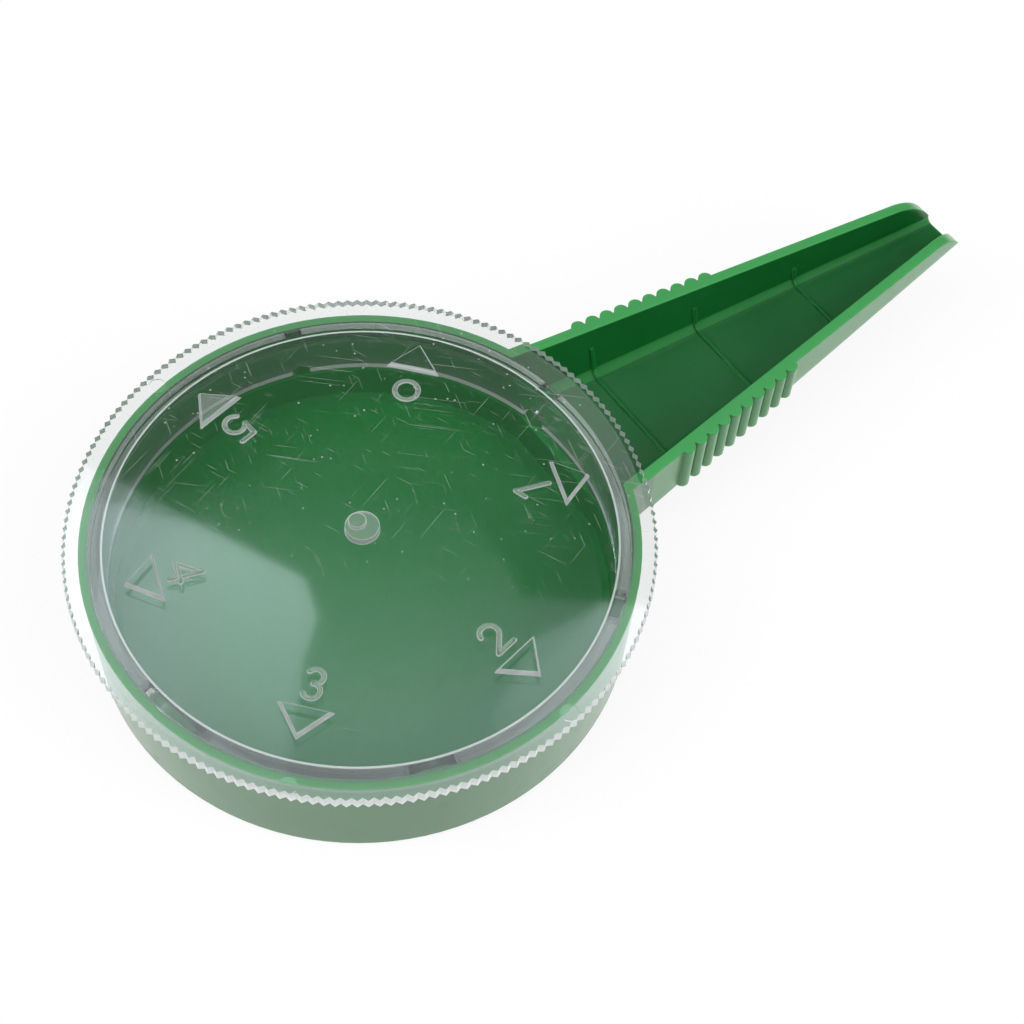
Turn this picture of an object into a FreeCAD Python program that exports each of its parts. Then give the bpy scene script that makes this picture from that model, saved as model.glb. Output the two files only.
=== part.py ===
import FreeCAD, Part
import math
import os
import re
import Sketcher
from FreeCAD import Placement, Rotation, Vector

# Dial seed sower: a shallow round seed tray with a tapered chute, closed by a clear
# dial lid whose skirt carries a row of gates of growing width.
# Frame: origin at the centre of the tray's flat base, +X along the chute, +Z up.
# Lengths in millimetres, angles in degrees.

SIZES = {
    # cup of the tray
    "rim_height": 14.8,
    "rim_radius": 33.2,
    "cup_bore_radius": 32.2,
    "cup_draft": 1.0,
    "base_edge_chamfer": 0.8,
    "floor_thickness": 1.5,
    "ledge_height": 7.1,
    "well_radius": 30.5,
    "well_draft": 1.0,
    "well_chamfer": 0.8,
    # chute, from the sill across its mouth to the spout
    "sill_reach": 29.3,
    "chute_reach": 94.0,
    "chute_width_root": 26.2,
    "chute_width_tip": 7.7,
    "chute_wall": 1.4,
    "chute_floor_root": 1.2,
    "chute_floor_tip": 0.8,
    "chute_floor_rise": 3.8,
    "chute_keel_root": 0.9,
    "chute_keel_tip": 2.2,
    "trough_flat_root": 16.0,
    "trough_flat_tip": 2.3,
    "trough_fillet_root": 1.8,
    "trough_fillet_tip": 1.0,
    # spout: where the chute walls curve down to the pouring lip
    "spout_length": 5.5,
    "spout_lip": 1.0,
    # thin ridges across the chute floor
    "ridge_count": 3,
    "ridge_first": 41.2,
    "ridge_pitch": 15.4,
    "ridge_width": 0.5,
    "ridge_height": 0.3,
    "ridge_depth_below_rim": 2.6,
    # finger grip ribs on the chute sides
    "rib_count": 10,
    "rib_first": 40.5,
    "rib_pitch": 2.12,
    "rib_radius": 0.95,
    "rib_sink": 0.15,
    "rib_length": 7.3,
    # dial lid
    "lid_radius": 35.0,
    "lid_thickness": 1.6,
    "knurl_count": 180,
    "knurl_depth": 0.4,
    "skirt_clearance": 0.25,
    "skirt_wall": 1.3,
    "skirt_foot_clearance": 0.25,
    "snap_drop": 2.6,
    "snap_height": 0.9,
    "snap_bite": 0.15,
    "dial_rest_angle": 41.8,
    # gates in the skirt, one under each number from 1 to 5
    "gate_one_width": 2.4,
    "gate_two_width": 3.2,
    "gate_three_width": 4.6,
    "gate_four_width": 7.0,
    "gate_five_width": 11.0,
    "gate_shoulder": 0.4,
    # raised pointers on the lid, one over each number
    "number_count": 6,
    "pointer_tip_radius": 28.35,
    "pointer_base_radius": 24.3,
    "pointer_width": 6.6,
    "pointer_height": 0.6,
    "pointer_draft": 20.0,
    # sprue mark at the middle of the lid
    "boss_radius": 2.05,
    "boss_height": 0.9,
    "nub_radius": 1.05,
    "nub_height": 1.4,
    "nub_offset": 0.74,
    "nub_bearing": 66.0,
}

GATES = ["gate_one_width", "gate_two_width", "gate_three_width", "gate_four_width", "gate_five_width"]
OVERRUN = 5.0      # how far a cutting outline reaches past the solid
NEAR = 1e-6        # largest difference between equal lengths

doc = FreeCAD.newDocument("dial_seed_sower")
sheet = doc.addObject("Spreadsheet::Sheet", "Sizes")
for row, (alias, size) in enumerate(SIZES.items(), start=1):
    sheet.set(f"A{row}", alias)
    sheet.set(f"B{row}", str(size))
    sheet.setAlias(f"B{row}", alias)
doc.recompute()


def formula(text):
    """Writes the size names of a formula as references to the sheet."""
    return re.sub(r"[a-z_]+", lambda word: f"Sizes.{word[0]}" if word[0] in SIZES else word[0], text)


def number(text):
    return float(sheet.evalExpression(formula(text)))


def is_near(one, other):
    return abs(one - other) < NEAR


def new_body(name):
    body = doc.addObject("PartDesign::Body", name)
    body.Label = name
    return body


def new_sketch(body, name, plane, shift=None, turn=None, turn_axis=Vector(0, 0, 1)):
    """Sketch on an origin plane of its body, moved off it by one formula and turned by another."""
    sketch = body.newObject("Sketcher::SketchObject", name)
    origin = next(item for item in body.Origin.OriginFeatures if item.Role == plane)
    sketch.AttachmentSupport = [(origin, "")]
    sketch.MapMode = "FlatFace"
    if turn:
        sketch.AttachmentOffset = Placement(Vector(), Rotation(turn_axis, 1))
        sketch.setExpression("AttachmentOffset.Rotation.Angle", formula(turn))
    if shift:
        sketch.setExpression("AttachmentOffset.Base.z", formula(shift))
    doc.recompute()
    return sketch


def bind(sketch, kind, *place, size):
    """Adds a dimension whose value is a formula of the sheet."""
    index = sketch.addConstraint(Sketcher.Constraint(kind, *place, number(size)))
    sketch.setExpression(f"Constraints[{index}]", formula(size))


def pin(sketch, edge, end, across, height):
    """Fixes a point of the sketch by its two distances from the sketch's origin."""
    for axis, kind, size in ((-2, "DistanceX", across), (-1, "DistanceY", height)):
        if size == "0":
            sketch.addConstraint(Sketcher.Constraint("PointOnObject", edge, end, axis))
        else:
            bind(sketch, kind, -1, 1, edge, end, size=size)


def outline(sketch, steps):
    """Closed outline. A step is (x, y) for a line, or (x, y, centre) for an arc that ends there.
    The centre is its x, or its y for an arch whose two feet are level."""
    points = [Vector(number(step[0]), number(step[1])) for step in steps]
    edges = []
    for place, step in enumerate(steps):
        start, end = points[place - 1], points[place]
        if len(step) == 2:
            edges.append(sketch.addGeometry(Part.LineSegment(start, end)))
        else:
            edges.append(sketch.addGeometry(arc_between(start, end, number(step[2]))))
    for place, step in enumerate(steps):
        edge, before = edges[place], edges[place - 1]
        sketch.addConstraint(Sketcher.Constraint(
            "Coincident", before, arc_end(sketch, before, points[place - 1]),
            edge, 3 - arc_end(sketch, edge, points[place])))
        pin(sketch, edge, arc_end(sketch, edge, points[place]), step[0], step[1])
        if len(step) == 3:
            level = is_level(points[place - 1], points[place])
            if step[2] == "0":
                sketch.addConstraint(Sketcher.Constraint("PointOnObject", edge, 3, -1 if level else -2))
            else:
                bind(sketch, "DistanceY" if level else "DistanceX", -1, 1, edge, 3, size=step[2])


def is_level(start, end):
    return is_near(start.y, end.y)


def arc_between(start, end, given):
    """Arc of half a turn or less through two points, with one coordinate of its centre given."""
    middle, chord = (start + end) / 2, end - start
    if is_level(start, end):
        centre = Vector(middle.x, given)
    else:
        centre = Vector(given, middle.y - (given - middle.x) * chord.x / chord.y)
    outward = middle - centre if (middle - centre).Length > NEAR else Vector(0, 1)
    crown = centre + outward.normalize() * (start - centre).Length
    return Part.Arc(start, crown, end)


def arc_end(sketch, edge, point):
    """Which end of an edge, 1 or 2, lies at a point."""
    start = sketch.getPoint(edge, 1)
    return 1 if is_near((start - point).Length, 0) else 2


def circle(sketch, radius, across="0", height="0"):
    centre = Vector(number(across), number(height))
    edge = sketch.addGeometry(Part.Circle(centre, Vector(0, 0, 1), number(radius)))
    bind(sketch, "Radius", edge, size=radius)
    pin(sketch, edge, 3, across, height)


def feature(body, kind, name, profile, **settings):
    """PartDesign feature from a sketch; text settings are formulas of the sheet."""
    item = body.newObject(f"PartDesign::{kind}", name)
    item.Profile = profile
    for key, setting in settings.items():
        if isinstance(setting, str) and key in ("Length", "TaperAngle", "Angle"):
            item.setExpression(key, formula(setting))
        else:
            setattr(item, key, setting)
    profile.Visibility = False
    doc.recompute()
    return item


def dress(body, kind, name, size, base, wanted):
    """Fillet or Chamfer on the edges of the last feature that a test picks out."""
    names = [f"Edge{place}" for place, edge in enumerate(base.Shape.Edges, start=1) if wanted(edge)]
    item = body.newObject(f"PartDesign::{kind}", name)
    item.Base = (base, names)
    item.setExpression("Radius" if kind == "Fillet" else "Size", formula(size))
    doc.recompute()
    return item


def heights(edge):
    return edge.BoundBox.ZMin, edge.BoundBox.ZMax


def along_chute(root, tip, station):
    """Formula for a size that changes evenly from the sill to the spout."""
    return f"( {root} + ( {tip} - {root} ) * ( {station} - sill_reach ) / ( chute_reach - sill_reach ) )"


def chute_section(body, name, station):
    """Outer section of the chute: upright sides and a flat underside with rounded keels."""
    sketch = new_sketch(body, name, "YZ_Plane", shift=station)
    side = along_chute("chute_width_root / 2", "chute_width_tip / 2", station)
    keel = along_chute("chute_keel_root", "chute_keel_tip", station)
    under = f"ledge_height + {rise(station)} - {along_chute('chute_floor_root', 'chute_floor_tip', station)}"
    outline(sketch, [(f"{side} - {keel}", under), (side, f"{under} + {keel}", f"{side} - {keel}"),
                     (side, "rim_height"), (f"0 - {side}", "rim_height"),
                     (f"0 - {side}", f"{under} + {keel}"), (f"{keel} - {side}", under, f"{keel} - {side}")])
    return sketch


def rise(station):
    return along_chute("0.0", "chute_floor_rise", station)


def trough_section(body, name, station, swell="0.0", drop="0.0"):
    """Inner section of the chute: flat floor, rounded feet and walls that lean outwards.
    Swell moves the whole section into the walls and the floor; drop lowers its top."""
    sketch = new_sketch(body, name, "YZ_Plane", shift=station)
    flat = along_chute("trough_flat_root / 2", "trough_flat_tip / 2", station)
    round_foot = along_chute("trough_fillet_root", "trough_fillet_tip", station)
    mouth = f"( {along_chute('chute_width_root / 2', 'chute_width_tip / 2', station)} - chute_wall )"
    height = f"( rim_height - ledge_height - {rise(station)} )"
    lean = f"( {mouth} - {flat} - {round_foot} ) / ( {height} - {round_foot} )"
    side = f"{mouth} - {drop} * {lean} + {swell}"
    top = f"rim_height - {drop}"
    radius = f"{round_foot} + {swell}"
    floor = f"rim_height - {height} - ( {swell} )"
    foot = Vector(number(flat), number(floor))
    shoulder = Vector(number(side), number(top))
    centre = foot + Vector(0, number(radius))
    reach = shoulder - centre
    bearing = math.atan2(reach.y, reach.x) - math.acos(number(radius) / reach.Length)
    touch = centre + Vector(math.cos(bearing), math.sin(bearing)) * number(radius)

    def mirrored(point, side_sign):
        return Vector(point.x * side_sign, point.y)

    bottom = sketch.addGeometry(Part.LineSegment(mirrored(foot, -1), foot))
    lid_line = sketch.addGeometry(Part.LineSegment(shoulder, mirrored(shoulder, -1)))
    for sign, bottom_end, lid_end in ((1, 2, 1), (-1, 1, 2)):
        begin, finish = (-math.pi / 2, bearing) if sign > 0 else (math.pi - bearing, 1.5 * math.pi)
        corner = sketch.addGeometry(Part.ArcOfCircle(
            Part.Circle(mirrored(centre, sign), Vector(0, 0, 1), number(radius)), begin, finish))
        wall = sketch.addGeometry(Part.LineSegment(mirrored(touch, sign), mirrored(shoulder, sign)))
        near, far = (1, 2) if sign > 0 else (2, 1)
        sketch.addConstraint(Sketcher.Constraint("Tangent", bottom, bottom_end, corner, near))
        sketch.addConstraint(Sketcher.Constraint("Tangent", corner, far, wall, 1))
        sketch.addConstraint(Sketcher.Constraint("Coincident", wall, 2, lid_line, lid_end))
        bind(sketch, "Radius", corner, size=radius)
    pin(sketch, lid_line, 1, side, top)
    pin(sketch, lid_line, 2, f"0 - ( {side} )", top)
    pin(sketch, bottom, 2, flat, floor)
    bind(sketch, "DistanceX", -1, 1, bottom, 1, size=f"0 - {flat}")
    return sketch


def loft(body, kind, name, first, last):
    item = feature(body, kind, name, first, Sections=[last], Ruled=True)
    last.Visibility = False
    return item


def make_tray():
    body = new_body("seed_tray")
    base_radius = "rim_radius - rim_height * tan( cup_draft )"
    profile = new_sketch(body, "cup_profile", "XZ_Plane")
    outline(profile, [("0", "0"), (base_radius, "0"), ("rim_radius", "rim_height"), ("0", "rim_height")])
    cup = feature(body, "Revolution", "cup", profile, ReferenceAxis=(profile, ["V_Axis"]))
    dress(body, "Chamfer", "base_edge", "base_edge_chamfer", cup, lambda edge: is_near(heights(edge)[1], 0))

    ends = [chute_section(body, "chute_root", "sill_reach"), chute_section(body, "chute_end", "chute_reach")]
    loft(body, "AdditiveLoft", "chute_block", *ends)

    bore = new_sketch(body, "bore_circle", "XY_Plane", shift="rim_height")
    circle(bore, "cup_bore_radius")
    feature(body, "Pocket", "cup_bore", bore, Length="rim_height - ledge_height")
    half_sill = "sqrt( well_radius ^ 2 - sill_reach ^ 2 )"
    well = new_sketch(body, "well_outline", "XY_Plane", shift="ledge_height")
    well_edge(well, half_sill)
    well_cut = feature(body, "Pocket", "well", well, Length="ledge_height - floor_thickness",
                       TaperAngle="0 - well_draft")
    floor_height = number("floor_thickness")
    dress(body, "Chamfer", "well_foot", "well_chamfer", well_cut,
          lambda edge: all(is_near(height, floor_height) for height in heights(edge)))

    loft(body, "SubtractiveLoft", "trough",
         trough_section(body, "trough_root", "sill_reach"),
         trough_section(body, "trough_end", "chute_reach"))
    for place in range(int(number("ridge_count"))):
        station = f"( ridge_first + {place} * ridge_pitch )"
        slab = trough_section(body, f"ridge_{place + 1}_section", station, swell="chute_wall / 2",
                              drop="ridge_depth_below_rim")
        feature(body, "Pad", f"ridge_{place + 1}", slab, Length="ridge_width", Midplane=True)
    loft(body, "SubtractiveLoft", "ridge_crest",
         trough_section(body, "crest_root", "sill_reach", swell="0 - ridge_height"),
         trough_section(body, "crest_end", "chute_reach", swell="0 - ridge_height"))
    snap_ring(body, "Groove", "snap_groove", "cup_bore_radius", "0 - skirt_clearance", "skirt_clearance")
    grip_ribs(body, ends)
    spout_end(body)
    return body


def snap_ring(body, kind, name, radius, inside, room):
    """Low ring with sloping sides round the dial axis: the bead of the skirt, or its groove."""
    profile = new_sketch(body, f"{name}_profile", "XZ_Plane")
    middle, half = "rim_height - snap_drop", f"( snap_height / 2 + {room} )"
    outline(profile, [(f"{radius} + {inside}", f"{middle} - {half}"), (radius, f"{middle} - {half}"),
                      (f"{radius} + snap_bite + skirt_clearance", middle),
                      (radius, f"{middle} + {half}"), (f"{radius} + {inside}", f"{middle} + {half}")])
    return feature(body, kind, name, profile, ReferenceAxis=(profile, ["V_Axis"]))


def grip_ribs(body, chute_ends):
    """Upright round ribs sunk in both chute sides, stepped along the slope of the wall."""
    side = along_chute("chute_width_root / 2", "chute_width_tip / 2", "rib_first")
    foot = new_sketch(body, "rib_circle", "XY_Plane", shift="rim_height - rib_length")
    circle(foot, "rib_radius", "rib_first", f"{side} - rib_sink")
    rib = feature(body, "Pad", "rib", foot, Length="rib_length")
    slope = body.newObject("PartDesign::Line", "wall_slope")
    slope.AttachmentSupport = [(section, keel_corner(section)) for section in chute_ends]
    slope.MapMode = "TwoPointLine"
    doc.recompute()
    many = body.newObject("PartDesign::MultiTransform", "grip_ribs")
    many.Originals = [rib]
    row = body.newObject("PartDesign::LinearPattern", "rib_row")
    row.Direction = (slope, [""])
    row.setExpression("Length", formula("rib_pitch * ( rib_count - 1 )"))
    row.setExpression("Occurrences", formula("rib_count"))
    pair = body.newObject("PartDesign::Mirrored", "rib_pair")
    pair.MirrorPlane = (next(item for item in body.Origin.OriginFeatures if item.Role == "XZ_Plane"), [""])
    many.Transformations = [row, pair]
    body.Tip = many
    doc.recompute()
    return many


def keel_corner(section):
    """Corner of a chute section where its +Y side meets the keel's rounding."""
    corners = [corner.Point for corner in section.Shape.Vertexes]
    widest = max(corner.y for corner in corners)
    lowest = min((corner for corner in corners if is_near(corner.y, widest)), key=lambda corner: corner.z)
    return f"Vertex{corners.index(lowest) + 1}"


def spout_end(body):
    """Trims the ribs level with the walls and curves the walls down to the spout."""
    start = "chute_reach - spout_length"
    low = "ledge_height + chute_floor_rise + spout_lip"
    past, over = f"chute_reach + {OVERRUN}", f"rim_height + {OVERRUN}"
    profile = new_sketch(body, "spout_profile", "XZ_Plane")
    outline(profile, [("rim_radius", "rim_height"), (start, "rim_height"), ("chute_reach", low, start),
                      (past, low), (past, over), ("rim_radius", over)])
    return feature(body, "Pocket", "spout_end", profile, Length="2 * chute_width_root", Midplane=True)


def well_edge(sketch, half_sill):
    """Round edge of the well, closed by the straight sill across the chute's mouth."""
    radius, reach, half = number("well_radius"), number("sill_reach"), number(half_sill)
    angle = math.atan2(half, reach)
    arc = sketch.addGeometry(Part.ArcOfCircle(Part.Circle(Vector(), Vector(0, 0, 1), radius),
                                              angle, 2 * math.pi - angle))
    sill = sketch.addGeometry(Part.LineSegment(Vector(reach, -half), Vector(reach, half)))
    sketch.addConstraint(Sketcher.Constraint("Coincident", arc, 3, -1, 1))
    sketch.addConstraint(Sketcher.Constraint("Coincident", arc, 2, sill, 1))
    sketch.addConstraint(Sketcher.Constraint("Coincident", sill, 2, arc, 1))
    sketch.addConstraint(Sketcher.Constraint("Vertical", sill))
    bind(sketch, "Radius", arc, size="well_radius")
    bind(sketch, "DistanceX", -1, 1, sill, 1, size="sill_reach")


def make_lid():
    """Lid drawn where it sits, then turned about the dial axis to its rest position."""
    body = new_body("dial_lid")
    root = "lid_radius - knurl_depth"
    disc = new_sketch(body, "flange_circle", "XY_Plane", shift="rim_height")
    circle(disc, root)
    feature(body, "Pad", "flange", disc, Length="lid_thickness")

    skirt = new_sketch(body, "skirt_circles", "XY_Plane", shift="rim_height")
    circle(skirt, "cup_bore_radius - skirt_clearance")
    circle(skirt, "cup_bore_radius - skirt_clearance - skirt_wall")
    feature(body, "Pad", "skirt", skirt, Length="rim_height - ledge_height - skirt_foot_clearance",
            Reversed=True)
    snap_ring(body, "Revolution", "snap_bead", "cup_bore_radius - skirt_clearance",
              "0 - skirt_wall / 2", "0.0")

    for place, width in enumerate(GATES, start=1):
        gate = new_sketch(body, f"gate_{place}_arch", "XZ_Plane", turn=f"0 - {place} * 360 / number_count",
                          turn_axis=Vector(0, 1, 0))
        foot = "ledge_height + skirt_foot_clearance"
        shoulder = f"{foot} + gate_shoulder"
        outline(gate, [(f"0 - {width} / 2", "ledge_height"), (f"{width} / 2", "ledge_height"),
                       (f"{width} / 2", shoulder), (f"0 - {width} / 2", shoulder, shoulder)])
        feature(body, "Pocket", f"gate_{place}", gate, Length="lid_radius")

    pointer = new_sketch(body, "pointer_triangle", "XY_Plane", shift="rim_height + lid_thickness")
    outline(pointer, [("pointer_base_radius", "0 - pointer_width / 2"), ("pointer_tip_radius", "0"),
                      ("pointer_base_radius", "pointer_width / 2")])
    pointer_pad = feature(body, "Pad", "pointer", pointer, Length="pointer_height",
                          TaperAngle="0 - pointer_draft")
    polar(body, "pointers", pointer_pad, "number_count")

    nub_place = ("nub_offset * cos( nub_bearing )", "nub_offset * sin( nub_bearing )")
    for name, radius, height, offset in (("boss", "boss_radius", "boss_height", ("0", "0")),
                                         ("nub", "nub_radius", "nub_height", nub_place)):
        mark = new_sketch(body, f"{name}_circle", "XY_Plane", shift="rim_height + lid_thickness")
        circle(mark, radius, *offset)
        feature(body, "Pad", name, mark, Length=height)
    tooth = new_sketch(body, "tooth_profile", "XY_Plane", shift="rim_height")
    half = f"( {root} ) * tan( 180 / knurl_count )"
    outline(tooth, [(f"{root} - knurl_depth", f"0 - {half}"), (root, f"0 - {half}"), ("lid_radius", "0"),
                    (root, half), (f"{root} - knurl_depth", half)])
    tooth_pad = feature(body, "Pad", "tooth", tooth, Length="lid_thickness")
    polar(body, "knurl", tooth_pad, "knurl_count")
    body.Placement = Placement(Vector(), Rotation(Vector(0, 0, 1), 1))
    body.setExpression("Placement.Rotation.Angle", formula("dial_rest_angle"))
    doc.recompute()
    return body


def polar(body, name, original, count):
    """Repeats a feature evenly round the dial axis."""
    many = body.newObject("PartDesign::PolarPattern", name)
    many.Originals = [original]
    many.Axis = (original.Profile[0], ["N_Axis"])
    many.Angle = 360
    many.setExpression("Occurrences", formula(count))
    body.Tip = many
    doc.recompute()
    return many


parts = [make_tray(), make_lid()]
doc.recompute()
for item in doc.Objects:
    if "Invalid" in item.State or "Error" in item.State:
        raise RuntimeError(f"{item.Name} could not be made: {item.State}")
for part in parts:
    if part.Shape.isNull() or not part.Shape.isValid() or len(part.Shape.Solids) != 1:
        raise RuntimeError(f"{part.Label} is not one sound solid")
os.makedirs("parts", exist_ok=True)
for part in parts:
    part.Shape.exportStep(f"parts/{part.Label}.step")
    print(part.Label, "volume", round(part.Shape.Volume, 1), "mm3")
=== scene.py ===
import functools
import math

import bmesh
import bpy
from mathutils import Matrix, Vector


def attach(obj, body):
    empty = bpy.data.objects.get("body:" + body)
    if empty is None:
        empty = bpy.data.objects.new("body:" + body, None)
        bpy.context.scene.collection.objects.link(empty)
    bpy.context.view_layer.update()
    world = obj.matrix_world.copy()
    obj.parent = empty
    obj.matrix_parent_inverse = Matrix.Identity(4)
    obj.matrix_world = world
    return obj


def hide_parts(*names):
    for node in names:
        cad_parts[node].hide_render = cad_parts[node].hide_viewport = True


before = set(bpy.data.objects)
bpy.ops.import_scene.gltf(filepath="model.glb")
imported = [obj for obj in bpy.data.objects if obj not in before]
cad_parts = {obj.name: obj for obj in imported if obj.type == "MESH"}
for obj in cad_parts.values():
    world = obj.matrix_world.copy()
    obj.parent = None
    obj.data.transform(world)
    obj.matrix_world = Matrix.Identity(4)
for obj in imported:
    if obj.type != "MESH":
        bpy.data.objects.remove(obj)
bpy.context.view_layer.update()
print("frame loaded")

lidTop = 0.0164                # upper face of the dial's flange
zeroAngle = 41.8               # direction of the 0 at rest, in degrees from the chute
numberStep = -60.0             # from one number to the next


camera = {
    "elevation": 56.33,
    "turn": 39.65,             # the chute points this far up from the picture's right
    "roll": 4.73,
    "lens": 69.05,
    "lidInView": (-0.01764, -0.00207, -0.2315),
}


def placeCamera():
    data = bpy.data.cameras.new("camera")
    data.sensor_fit = "HORIZONTAL"
    data.sensor_width = 36
    data.lens = camera["lens"]
    data.clip_start = 0.01
    eye = bpy.data.objects.new("camera", data)
    bpy.context.scene.collection.objects.link(eye)
    turn = Matrix.Rotation(math.radians(-camera["turn"]), 4, "Z")
    tilt = Matrix.Rotation(math.radians(90 - camera["elevation"]), 4, "X")
    roll = Matrix.Rotation(math.radians(camera["roll"]), 4, "Z")
    looking = turn @ tilt @ roll
    place = Vector((0, 0, lidTop)) - looking @ Vector(camera["lidInView"])
    eye.matrix_world = Matrix.Translation(place) @ looking
    bpy.context.scene.camera = eye


placeCamera()
print("camera placed")


class Wire:                    # a node's socket, which can stand in an expression
    def __init__(self, shader, socket):
        self.shader = shader
        self.socket = socket

    def maths(self, operation, first, second):
        return self.shader.node("Math", {"operation": operation}, {0: first, 1: second})

    def __add__(self, other):
        return self.maths("ADD", self, other)

    __radd__ = __add__

    def __sub__(self, other):
        return self.maths("SUBTRACT", self, other)

    def __rsub__(self, other):
        return self.maths("SUBTRACT", other, self)

    def __mul__(self, other):
        return self.maths("MULTIPLY", self, other)

    __rmul__ = __mul__

    def __truediv__(self, other):
        return self.maths("DIVIDE", self, other)

    def __gt__(self, other):
        return self.maths("GREATER_THAN", self, other)

    def __lt__(self, other):
        return self.maths("LESS_THAN", self, other)

    def smaller(self, other):
        return self.maths("MINIMUM", self, other)

    def larger(self, other):
        return self.maths("MAXIMUM", self, other)


class Shader:                  # the node tree of one material or of the world
    def __init__(self, owner):
        owner.use_nodes = True
        self.tree = owner.node_tree
        self.tree.nodes.clear()

    def node(self, kind, settings=None, inputs=None, output=0):
        made = self.tree.nodes.new("ShaderNode" + kind)
        for name, value in (settings or {}).items():
            if name == "stops":
                self.setStops(made.color_ramp, value)
            else:
                setattr(made, name, value)
        for name, value in (inputs or {}).items():
            if isinstance(value, Wire):
                self.tree.links.new(value.socket, made.inputs[name])
            else:
                made.inputs[name].default_value = value
        return Wire(self, made.outputs[output]) if len(made.outputs) else None

    def setStops(self, ramp, stops):
        while len(ramp.elements) < len(stops):
            ramp.elements.new(0.5)
        for element, (place, level) in zip(ramp.elements, stops):
            element.position = place
            element.color = (level, level, level, 1)

    def ramp(self, factor, *stops):
        return self.node("ValToRGB", {"stops": stops}, {"Fac": factor})

    def noise(self, place, scale, detail=2.0, roughness=0.5):
        return self.node("TexNoise", None, {
            "Vector": place, "Scale": scale, "Detail": detail, "Roughness": roughness})

    def blend(self, factor, first, second):
        return self.node("Mix", {"data_type": "RGBA"}, {0: factor, 6: first, 7: second}, output=2)

    def place(self):
        return self.node("TexCoord", output="Object")

    def split(self, vector):
        return [self.node("SeparateXYZ", None, {"Vector": vector}, axis) for axis in "XYZ"]

    def reach(self, across, along):  # distance from the dial's axis
        flat = self.node("CombineXYZ", None, {"X": across, "Y": along})
        return self.node("VectorMath", {"operation": "LENGTH"}, {0: flat}, "Value")

    def facing(self):
        return self.split(self.node("TexCoord", output="Normal"))

    def steep(self):           # 0 on a level face, 1 on an upright one
        return 1 - self.node("Math", {"operation": "ABSOLUTE"}, {0: self.facing()[2]})

    def finish(self, surface):
        self.node("OutputMaterial", None, {"Surface": surface})


def largest(wires):
    return functools.reduce(Wire.larger, wires)


greenPlastic = {
    "body": (0.004, 0.100, 0.016, 1),
    "pale": (0.007, 0.122, 0.022, 1),
    "flowScale": 60,           # of the slow change between the two
    # painted light: a brighter green for the well under the lid, standing in for light the lid holds back
    "well": (0.004, 0.190, 0.030, 1),
    "wellRadius": 0.0305,
    "wellFloor": 0.001,
    "wellShare": 0.85,
    "lit": (0.060, 0.330, 0.095, 1),  # painted light where light comes through thin plastic: a lighter colour painted on the wall tops, the chute's outer faces and its far wall's foot
    "litFrom": 0.0321,         # the rim and the chute, outside this radius
    "litHeight": 0.0146,       # the tops of their walls, above this height
    "litSlope": 0.7,
    "spoutReach": 0.0884,      # from here on the walls drop towards the lip
    "spoutHeight": 0.0117,
    "chuteRoot": 0.0345,
    "sideLightShare": 0.3,          # share of the lit colour painted on the chute's outer faces, as painted light
    "footHighlightShare": 0.45,         # and a painted highlight on the rounded foot of its far wall
    "footSlope": (0.06, 0.65),
    "footHeight": 0.0136,
    "roughness": 0.30,
    "scuff": 0.08,             # roughness added where the plastic is scuffed
    "scuffScale": 420,
    "grainScale": 2600,
    "glow": 0.6,               # share of the light that passes through the plastic
    "depth": 0.002,
    "edge": 0.0004,            # radius of the rounded edges
}


def makeGreenPlastic():
    material = bpy.data.materials.new("green_plastic")
    shader = Shader(material)
    place = shader.place()
    surface = shader.node("BsdfPrincipled", None, {
        "Base Color": greenColour(shader, place),
        "Roughness": scuffs(shader, place) * greenPlastic["scuff"] + greenPlastic["roughness"],
        "IOR": 1.5,
        "Subsurface Weight": greenPlastic["glow"],
        "Subsurface Radius": (0.4, 1.0, 0.5),
        "Subsurface Scale": greenPlastic["depth"],
        "Normal": shader.node("Bump", None, {
            "Strength": 0.004, "Distance": 0.0001,
            "Height": shader.noise(place, greenPlastic["grainScale"]) + flow(shader, place) * 0.5,
            "Normal": shader.node("Bevel", {"samples": 4}, {"Radius": greenPlastic["edge"]})})})
    shader.finish(surface)
    return material


def flow(shader, place):       # slow cloudy change over the moulding
    return shader.ramp(shader.noise(place, greenPlastic["flowScale"], 3), (0.3, 0.0), (0.7, 1.0))


def scuffs(shader, place):
    return shader.ramp(shader.noise(place, greenPlastic["scuffScale"], 4, 0.7), (0.55, 0.0), (0.78, 1.0))


def greenColour(shader, place):  # body colour, with painted light: greener in the well, where the lid dims the light, and a painted lit colour where the walls are thin
    across, along, height = shader.split(place)
    radius = shader.reach(across, along)
    steep = shader.steep()
    spoutDrop = greenPlastic["spoutHeight"] - greenPlastic["litHeight"]
    edgeHeight = (across > greenPlastic["spoutReach"]) * spoutDrop + greenPlastic["litHeight"]
    # painted highlight: the tops of the rim and chute walls take the lit colour
    lit = (height > edgeHeight) * (radius > greenPlastic["litFrom"]) * (steep < greenPlastic["litSlope"])
    onChute = across > greenPlastic["chuteRoot"]
    outward = along * shader.facing()[1] > 0
    # painted light on the chute's outer upright faces
    sideLight = onChute * outward * (steep > greenPlastic["litSlope"]) * greenPlastic["sideLightShare"]
    flattest, steepest = greenPlastic["footSlope"]
    # painted highlight along the rounded foot of the chute's far wall
    footHighlight = (steep > flattest) * (steep < steepest) * onChute * (height < greenPlastic["footHeight"])
    footHighlight = footHighlight * (along > 0) * greenPlastic["footHighlightShare"]
    inWell = (radius < greenPlastic["wellRadius"]) * (height > greenPlastic["wellFloor"])
    colour = shader.blend(flow(shader, place), greenPlastic["body"], greenPlastic["pale"])
    # painted light: the well is coloured brighter than the body
    colour = shader.blend(inWell * greenPlastic["wellShare"], colour, greenPlastic["well"])
    return shader.blend(largest((lit, footHighlight, sideLight)), colour, greenPlastic["lit"])


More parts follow.
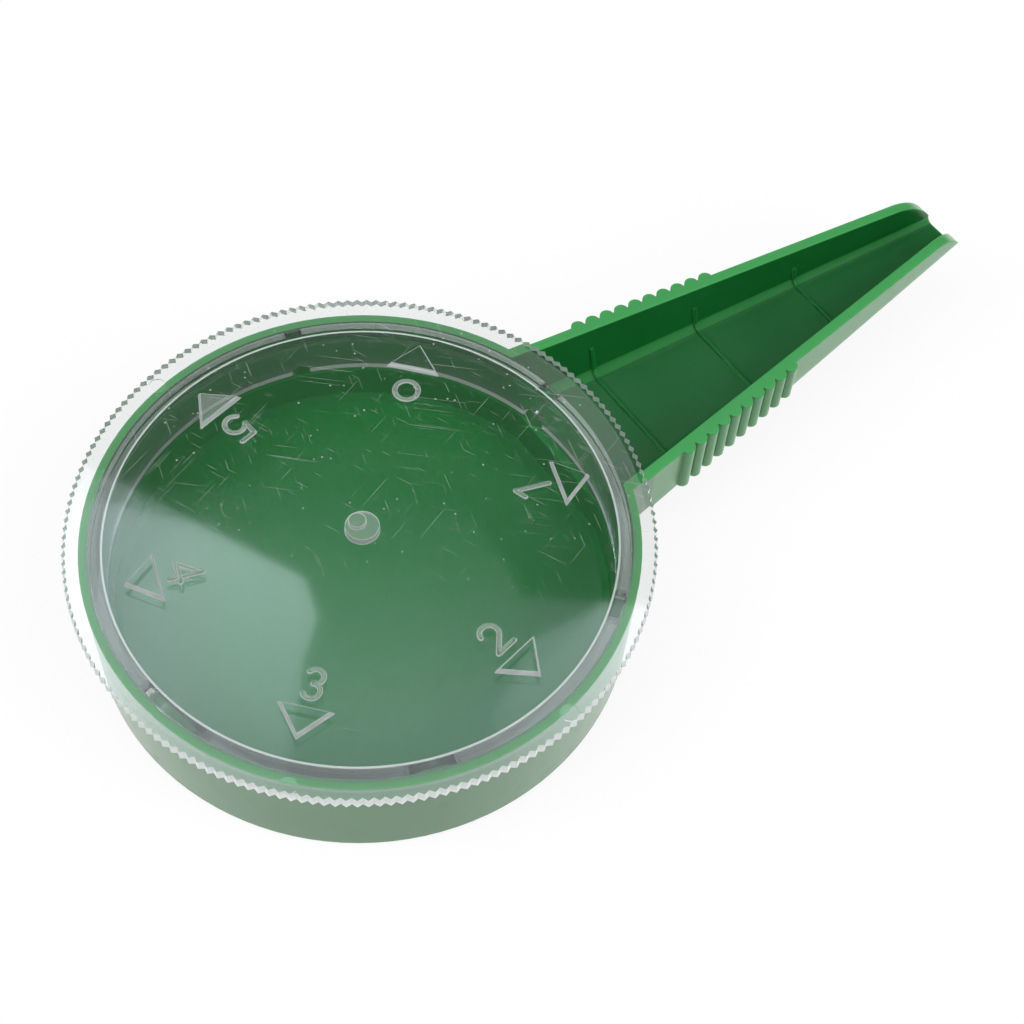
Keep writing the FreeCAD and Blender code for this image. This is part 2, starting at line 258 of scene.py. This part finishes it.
clearPlastic = {
    "tint": (0.955, 0.975, 0.97, 1),
    "index": 1.55,
    "roughness": 0.02,
    "cloudRoughness": 0.03,    # added in clouds over the surface
    "cloudScale": 900,
    "ripple": {"Strength": 0.02, "Distance": 0.0002},
    "rippleScale": 45,
    "frostAndHighlight": (0.80, 0.84, 0.84, 1),
    "frostRoughness": 0.5,
    "skin": 0.00002,           # how far from the lid's upper face still counts as on it
    "topRadius": 0.034,
    "edge": 0.00017,
    "edgeTurn": 0.985,         # cosine at which a rounded edge starts
    "edgeSlope": 0.25,
    "edgeHighlightFrost": 0.52,         # painted highlight, as frost on the edges of the numbers, pointers and middle mark
    "upright": 0.5,
    "knurlRadius": 0.0345,
    # painted sheen, as frost on the knurl's upright teeth
    "knurlSheenFrost": 0.6,
    "skirtTop": 0.0147,
    "skirtRadius": 0.0304,
    "skirtFrost": 0.03,
    "footTop": 0.0074,
    "footHighlightFrost": 0.36,         # painted highlight, as frost on the skirt's foot
    "bandHighlight": (0.03040, 0.03070),
    "bandHeights": (0.0145, 0.0149),
    "bandHighlightFrost": 0.70,         # painted highlight, as frost on the thin ring along the skirt's inner edge
    "markRadius": 0.0021,
    "markFrost": 0.16,         # on the middle mark and the frosted pointer
    "frostedPointer": 5,
    "pointerReach": 0.0257,
    "pointerSize": 0.0035,
    "wornTowards": (0.638, 0.770),
    "wornRise": 30,            # wear per metre in that direction
    "wornMiddle": 0.35,        # and at the axis
    "scratch": 0.38,
    "hairline": 0.00011,       # spacing of the scratches across their length
    "hairlines": ((0.35, 0.011), (1.3, 0.006), (2.4, 0.014), (2.0, 0.005)),  # direction, length
    "speckScale": 800,
    "speckPatches": 330,
    "haze": 0.014,             # fine wear on the far half of the top
    "rimHaze": 0.08,           # and on the flange
    "hazyRim": 0.031,
}


def makeClearPlastic():
    material = bpy.data.materials.new("clear_plastic")
    shader = Shader(material)
    place = shader.place()
    cloud = shader.noise(place, clearPlastic["cloudScale"], 4, 0.7)
    ripple = {**clearPlastic["ripple"], "Height": shader.noise(place, clearPlastic["rippleScale"])}
    glass = shader.node("BsdfPrincipled", None, {
        "Base Color": clearPlastic["tint"],
        "Roughness": cloud * clearPlastic["cloudRoughness"] + clearPlastic["roughness"],
        "IOR": clearPlastic["index"],
        "Transmission Weight": 1.0,
        "Normal": shader.node("Bump", None, ripple)})
    # the milky shader: real frost on the marks and wear, painted highlights elsewhere
    frostedAndHighlit = shader.node("BsdfPrincipled", None, {
        "Base Color": clearPlastic["frostAndHighlight"], "Roughness": clearPlastic["frostRoughness"]})
    solid = shader.node("MixShader", None, {0: frostAndHighlights(shader, place), 1: glass, 2: frostedAndHighlit})
    through = shader.node("BsdfTransparent")
    shadowRay = shader.node("LightPath", output="Is Shadow Ray")
    shader.finish(shader.node("MixShader", None, {0: shadowRay, 1: solid, 2: through}))
    return material


def frostAndHighlights(shader, place):   # how milky the clear plastic is, from 0 to 1: real frost on the marks and wear, painted highlights on the edges, knurl, skirt foot and skirt band
    across, along, height = shader.split(place)
    radius = shader.reach(across, along)
    steep = shader.steep()
    rounded = shader.node("Bevel", {"samples": 6}, {"Radius": clearPlastic["edge"]})
    flat = shader.node("NewGeometry", output="Normal")
    turn = shader.node("VectorMath", {"operation": "DOT_PRODUCT"}, {0: rounded, 1: flat}, "Value")
    onTop = (height > lidTop - clearPlastic["skin"]) * (radius < clearPlastic["topRadius"])
    atEdge = (turn < clearPlastic["edgeTurn"]).larger(steep > clearPlastic["edgeSlope"])
    # painted highlight lines along the rounded edges on the lid's top
    edgeHighlights = onTop * atEdge * clearPlastic["edgeHighlightFrost"]
    marks = (radius < clearPlastic["markRadius"]).larger(onPointer(shader, place))
    marks = marks * (height > lidTop + clearPlastic["skin"]) * clearPlastic["markFrost"]
    # painted sheen on the knurl's upright teeth
    knurlSheen = (radius > clearPlastic["knurlRadius"]) * (steep > clearPlastic["upright"])
    skirt = (height < clearPlastic["skirtTop"]) * (radius > clearPlastic["skirtRadius"])
    # painted highlight on the level faces of the skirt's foot
    footHighlight = (height < clearPlastic["footTop"]) * (steep < clearPlastic["upright"])
    inner, outer = clearPlastic["bandHighlight"]
    lower, upper = clearPlastic["bandHeights"]
    # painted highlight: a thin frosted ring along the skirt's inner edge
    bandHighlight = (radius > inner) * (radius < outer) * (height > lower) * (height < upper)
    return largest((
        edgeHighlights, marks, wear(shader, place, radius) * onTop, knurlSheen * clearPlastic["knurlSheenFrost"],
        skirt * clearPlastic["skirtFrost"], footHighlight * clearPlastic["footHighlightFrost"],
        bandHighlight * clearPlastic["bandHighlightFrost"]))


def onPointer(shader, place):  # 1 within the frosted pointer
    angle = math.radians(zeroAngle + numberStep * clearPlastic["frostedPointer"])
    reach = clearPlastic["pointerReach"]
    middle = (reach * math.cos(angle), reach * math.sin(angle), lidTop)
    away = shader.node("VectorMath", {"operation": "DISTANCE"}, {0: place, 1: middle}, "Value")
    return away < clearPlastic["pointerSize"]


def wear(shader, place, radius):
    across, along, _ = shader.split(place)
    towards = across * clearPlastic["wornTowards"][0] + along * clearPlastic["wornTowards"][1]
    worn = towards * clearPlastic["wornRise"] + clearPlastic["wornMiddle"]
    zone = shader.ramp(worn, (0.0, 0.25), (0.6, 1.0))
    fine = (scratches(shader, place) * clearPlastic["scratch"]).larger(clearPlastic["haze"]) * zone
    return fine.larger((radius > clearPlastic["hazyRim"]) * clearPlastic["rimHaze"])


def scratches(shader, place):  # hairlines in a few directions, and small specks
    lines = []
    for angle, length in clearPlastic["hairlines"]:
        along = shader.node("Mapping", {"vector_type": "TEXTURE"}, {
            "Vector": place, "Location": (length, angle, 0), "Rotation": (0, 0, angle),
            "Scale": (length, clearPlastic["hairline"], 1)})
        lines.append(shader.ramp(shader.noise(along, 1.0, 1.0), (0.72, 0.0), (0.755, 1.0)))
    speck = shader.node("TexVoronoi", None, {
        "Vector": place, "Scale": clearPlastic["speckScale"]}, "Distance")
    patches = shader.ramp(shader.noise(place, clearPlastic["speckPatches"]), (0.48, 0.0), (0.54, 1.0))
    lines.append(shader.ramp(speck, (0.07, 1.0), (0.14, 0.0)) * patches)
    return largest(lines)


greenMaterial = makeGreenPlastic()
clearMaterial = makeClearPlastic()
print("materials made")


smoothAngle = 32               # degrees, faces that meet flatter than this shade as one
weldDistance = 0.000002


def moulding(node, name):      # a welded copy of a CAD node
    piece = bpy.data.objects.new(name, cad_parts[node].data.copy())
    bpy.context.scene.collection.objects.link(piece)
    mesh = bmesh.new()
    mesh.from_mesh(piece.data)
    bmesh.ops.remove_doubles(mesh, verts=mesh.verts, dist=weldDistance)
    mesh.to_mesh(piece.data)
    mesh.free()
    return piece


def shadeByAngle(piece):
    mesh = piece.data
    if "custom_normal" in mesh.attributes:
        mesh.attributes.remove(mesh.attributes["custom_normal"])
    mesh.polygons.foreach_set("use_smooth", [True] * len(mesh.polygons))
    mesh.set_sharp_from_angle(angle=math.radians(smoothAngle))


def settle(piece, material, body, node):  # gives the piece its look and body, and hides its CAD node
    piece.data.materials.clear()
    piece.data.materials.append(material)
    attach(piece, body)
    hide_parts(node)


tray = moulding("seed_tray", "tray_moulding")
shadeByAngle(tray)
settle(tray, greenMaterial, "tray", "seed_tray")
print("tray ready")


def bend(across, along, radius, first, last):  # points on an arc, angles in degrees
    steps = max(2, round(abs(last - first) / 15))
    angles = [math.radians(first + (last - first) * step / steps) for step in range(steps + 1)]
    return [(across + radius * math.cos(angle), along + radius * math.sin(angle)) for angle in angles]


numbers = {
    "radius": 0.0212,          # middle of each number from the dial's axis
    "stroke": 0.00028,         # half the width of a stroke
    "unit": 0.001,             # the strokes below are in millimetres
    "strokes": {
        0: [bend(0, 0, 1.45, 0, 360)],
        1: [[(0.35, -2.1), (0.35, 2.1)], [(0.35, 2.1), (-0.8, 1.25)]],
        2: [bend(0, 0.75, 1.15, 165, -40) + [(-1.2, -1.8)], [(-1.2, -1.8), (1.4, -1.8)]],
        3: [bend(0, 0.88, 0.95, 150, -90), bend(0, -0.95, 1.0, 90, -150)],
        4: [[(0.6, -2.0), (0.6, 1.95)], [(0.6, 1.95), (-1.45, -0.8)], [(-1.45, -0.8), (1.35, -0.8)]],
        5: [[(1.1, 1.85), (-0.85, 1.85)], [(-0.85, 1.85), (-1.05, 0.2)], bend(0, -0.65, 1.25, 147, -145)],
    },
}


def numberSolids(value):       # raised strokes, half sunk in the lid, the number's top towards the axis
    angle = math.radians(zeroAngle + numberStep * value)
    place = (Matrix.Rotation(angle, 4, "Z") @ Matrix.Translation((numbers["radius"], 0, lidTop))
             @ Matrix.Rotation(math.pi / 2, 4, "Z"))
    solids = []
    for path in numbers["strokes"][value]:
        points = [place @ (Vector((*point, 0)) * numbers["unit"]) for point in path]
        closed = (points[0] - points[-1]).length < weldDistance
        solids.append(strokeSolid(points[:-1] if closed else points, closed))
        if not closed:
            solids += [ball(points[0]), ball(points[-1])]
    return solids


def strokeSolid(points, closed):  # a round stroke along the points
    curve = bpy.data.curves.new("stroke", "CURVE")
    curve.dimensions = "3D"
    curve.bevel_depth = numbers["stroke"]
    curve.bevel_resolution = 3
    curve.use_fill_caps = not closed
    spline = curve.splines.new("POLY")
    spline.points.add(len(points) - 1)
    for knot, point in zip(spline.points, points):
        knot.co = (*point, 1)
    spline.use_cyclic_u = closed
    line = bpy.data.objects.new("stroke", curve)
    bpy.context.scene.collection.objects.link(line)
    bpy.context.view_layer.update()
    mesh = bmesh.new()
    mesh.from_mesh(bpy.data.meshes.new_from_object(line.evaluated_get(bpy.context.evaluated_depsgraph_get())))
    bpy.data.objects.remove(line)
    bmesh.ops.remove_doubles(mesh, verts=mesh.verts, dist=weldDistance)
    return asSolid(mesh)


def ball(point):               # the round end of a stroke
    mesh = bmesh.new()
    bmesh.ops.create_icosphere(mesh, subdivisions=2, radius=numbers["stroke"],
                               matrix=Matrix.Translation(point))
    return asSolid(mesh)


def asSolid(mesh):
    bmesh.ops.recalc_face_normals(mesh, faces=mesh.faces)
    solid = bpy.data.objects.new("solid", bpy.data.meshes.new("solid"))
    mesh.to_mesh(solid.data)
    mesh.free()
    bpy.context.scene.collection.objects.link(solid)
    return solid


pinMarks = {
    "angles": (-79.5, -137.3, 105.7),
    "reach": 0.0335,
    "radius": 0.0011,
    "depth": 0.00015,
    "flangeBottom": 0.0148,
}


def pinMark(angle):            # a shallow round mark in the underside of the flange
    mesh = bmesh.new()
    place = Matrix.Rotation(math.radians(angle), 4, "Z") @ Matrix.Translation(
        (pinMarks["reach"], 0, pinMarks["flangeBottom"]))
    bmesh.ops.create_cone(mesh, cap_ends=True, segments=32, radius1=pinMarks["radius"],
                          radius2=pinMarks["radius"], depth=2 * pinMarks["depth"], matrix=place)
    return asSolid(mesh)


def combine(target, solids, operation):  # joins the solids to the target, or cuts them from it
    for solid in solids:
        joined = target.modifiers.new("combine", "BOOLEAN")
        joined.operation = operation
        joined.solver = "MANIFOLD"
        joined.object = solid
    bpy.context.view_layer.update()
    ready = target.evaluated_get(bpy.context.evaluated_depsgraph_get())
    target.data = bpy.data.meshes.new_from_object(ready)
    target.modifiers.clear()
    for solid in solids:
        bpy.data.objects.remove(solid)


lid = moulding("dial_lid", "lid_moulding")
combine(lid, [solid for value in numbers["strokes"] for solid in numberSolids(value)], "UNION")
combine(lid, [pinMark(angle) for angle in pinMarks["angles"]], "DIFFERENCE")
shadeByAngle(lid)
settle(lid, clearMaterial, "dial", "dial_lid")
print("lid ready")


studio = {
    "floorSize": 20.0,
    "floorTones": 3,           # scale of the faint clouds on the floor
    "floor": (0.92, 0.92, 0.93, 1),
    "floorWarm": (0.95, 0.95, 0.95, 1),
    "floorShadow": 0.12,       # how much of the floor's own shading the camera sees
    "floorGlow": 1.62,         # brightness of the floor in reflections
    "ambient": 0.35,
    "ambientGlow": 0.06,
    "backlight": 0.97,         # brightness of floor and room straight through the clear lid
    "cardHeight": 1.0,
    "cardColour": (0.79, 0.92, 1, 1),
    "lamps": (                 # right, away and up from the dial in metres, size, power
        ((-1.1, -0.5, 1.1), 1.1, 13.0),
        ((1.2, -0.6, 1.0), 1.1, 15.0),
        ((-0.2, -0.3, 1.6), 0.9, 6.0)),
    "cards": (                 # corners right and away from the dial, fade, brightness
        (((-0.60, 0.20), (0.60, 0.20), (0.60, 0.60), (0.03, 0.60), (0.0, 0.65), (-0.05, 0.70),
          (-0.60, 0.70)), (0.50, 0.68), 1.2),
        (((-0.60, 0.20), (-0.118, 0.20), (-0.118, 0.533), (-0.112, 0.569), (-0.126, 0.600),
          (-0.60, 0.822)), (0.62, 0.35), 3.0),
        (((0.010, 0.20), (0.60, 0.20), (0.60, 0.600), (0.088, 0.600), (0.041, 0.566),
          (0.016, 0.504)), (0.62, 0.40), 2.3)),
}


def inView(right, away, up):   # a place given as the camera sees it
    turn = Matrix.Rotation(math.radians(-camera["turn"]), 4, "Z")
    return turn @ Vector((right, away, up))


def rayShares(shader):         # shares of straight, mirrored and scattered sight, which add up to 1
    scattered = shader.node("LightPath", output="Diffuse Depth").smaller(1)
    mirrored = shader.node("LightPath", output="Glossy Depth").smaller(1) * (1 - scattered)
    return 1 - scattered - mirrored, mirrored, scattered


def backlight(shader):         # 1 in the camera's own sight, a little less through the lid
    through = shader.node("LightPath", output="Is Transmission Ray")
    return 1 - through * (1 - studio["backlight"])


def makeFloor():
    shape = bmesh.new()
    bmesh.ops.create_grid(shape, x_segments=8, y_segments=8, size=studio["floorSize"] / 2)
    floor = bpy.data.objects.new("floor", bpy.data.meshes.new("floor"))
    shape.to_mesh(floor.data)
    shape.free()
    bpy.context.scene.collection.objects.link(floor)
    material = bpy.data.materials.new("floor_white")
    shader = Shader(material)
    clouds = shader.noise(shader.place(), studio["floorTones"])
    tone = shader.blend(clouds, studio["floor"], studio["floorWarm"])
    matt = shader.node("BsdfDiffuse", None, {"Color": tone})
    straight, mirrored, scattered = rayShares(shader)
    level = straight * backlight(shader) + mirrored * studio["floorGlow"]
    white = shader.node("Emission", None, {"Color": (1, 1, 1, 1), "Strength": level})
    plain = (1 - scattered) * (1 - studio["floorShadow"])
    shader.finish(shader.node("MixShader", None, {0: plain, 1: matt, 2: white}))
    floor.data.materials.append(material)


def makeLamp(name, place, size, power):
    data = bpy.data.lights.new(name, "AREA")
    data.size = size
    data.energy = power
    lamp = bpy.data.objects.new(name, data)
    lamp.visible_glossy = False  # the cards are what shines in the lid
    lamp.visible_transmission = False
    bpy.context.scene.collection.objects.link(lamp)
    place = inView(*place)
    lamp.matrix_world = Matrix.Translation(place) @ (-place).to_track_quat("-Z", "Y").to_matrix().to_4x4()


# A glowing card, seen in reflections alone. Its light is full at the first distance of the fade
# away from the dial, and out at the second.
def makeCard(name, corners, fade, brightness):
    shape = bmesh.new()
    height = lidTop + studio["cardHeight"]
    shape.faces.new([shape.verts.new(inView(*corner, height)) for corner in corners])
    card = bpy.data.objects.new(name, bpy.data.meshes.new(name))
    shape.to_mesh(card.data)
    shape.free()
    bpy.context.scene.collection.objects.link(card)
    material = bpy.data.materials.new(name)
    shader = Shader(material)
    away = shader.node("VectorMath", {"operation": "DOT_PRODUCT"}, {
        0: shader.place(), 1: inView(0, 1, 0)}, "Value")
    full, out = fade
    level = ((out - away) / (out - full)).larger(0).smaller(1) * brightness
    lit = shader.node("Emission", None, {"Color": studio["cardColour"], "Strength": level})
    clear = shader.node("BsdfTransparent")
    shader.finish(shader.node("AddShader", None, {0: lit, 1: clear}))
    card.data.materials.append(material)
    for kind in ("camera", "diffuse", "shadow"):
        setattr(card, f"visible_{kind}", False)


def makeWorld():
    world = bpy.data.worlds.new("studio")
    bpy.context.scene.world = world
    shader = Shader(world)
    straight, mirrored, scattered = rayShares(shader)
    level = straight * backlight(shader) + mirrored * studio["ambientGlow"] + scattered * studio["ambient"]
    back = shader.node("Background", None, {"Color": (1, 1, 1, 1), "Strength": level})
    shader.node("OutputWorld", None, {"Surface": back})


makeFloor()
makeWorld()
for number, lamp in enumerate(studio["lamps"]):
    makeLamp(f"lamp_{number}", *lamp)
for number, card in enumerate(studio["cards"]):
    makeCard(f"card_{number}", *card)
bpy.context.scene.view_settings.view_transform = "Standard"
print("studio ready")
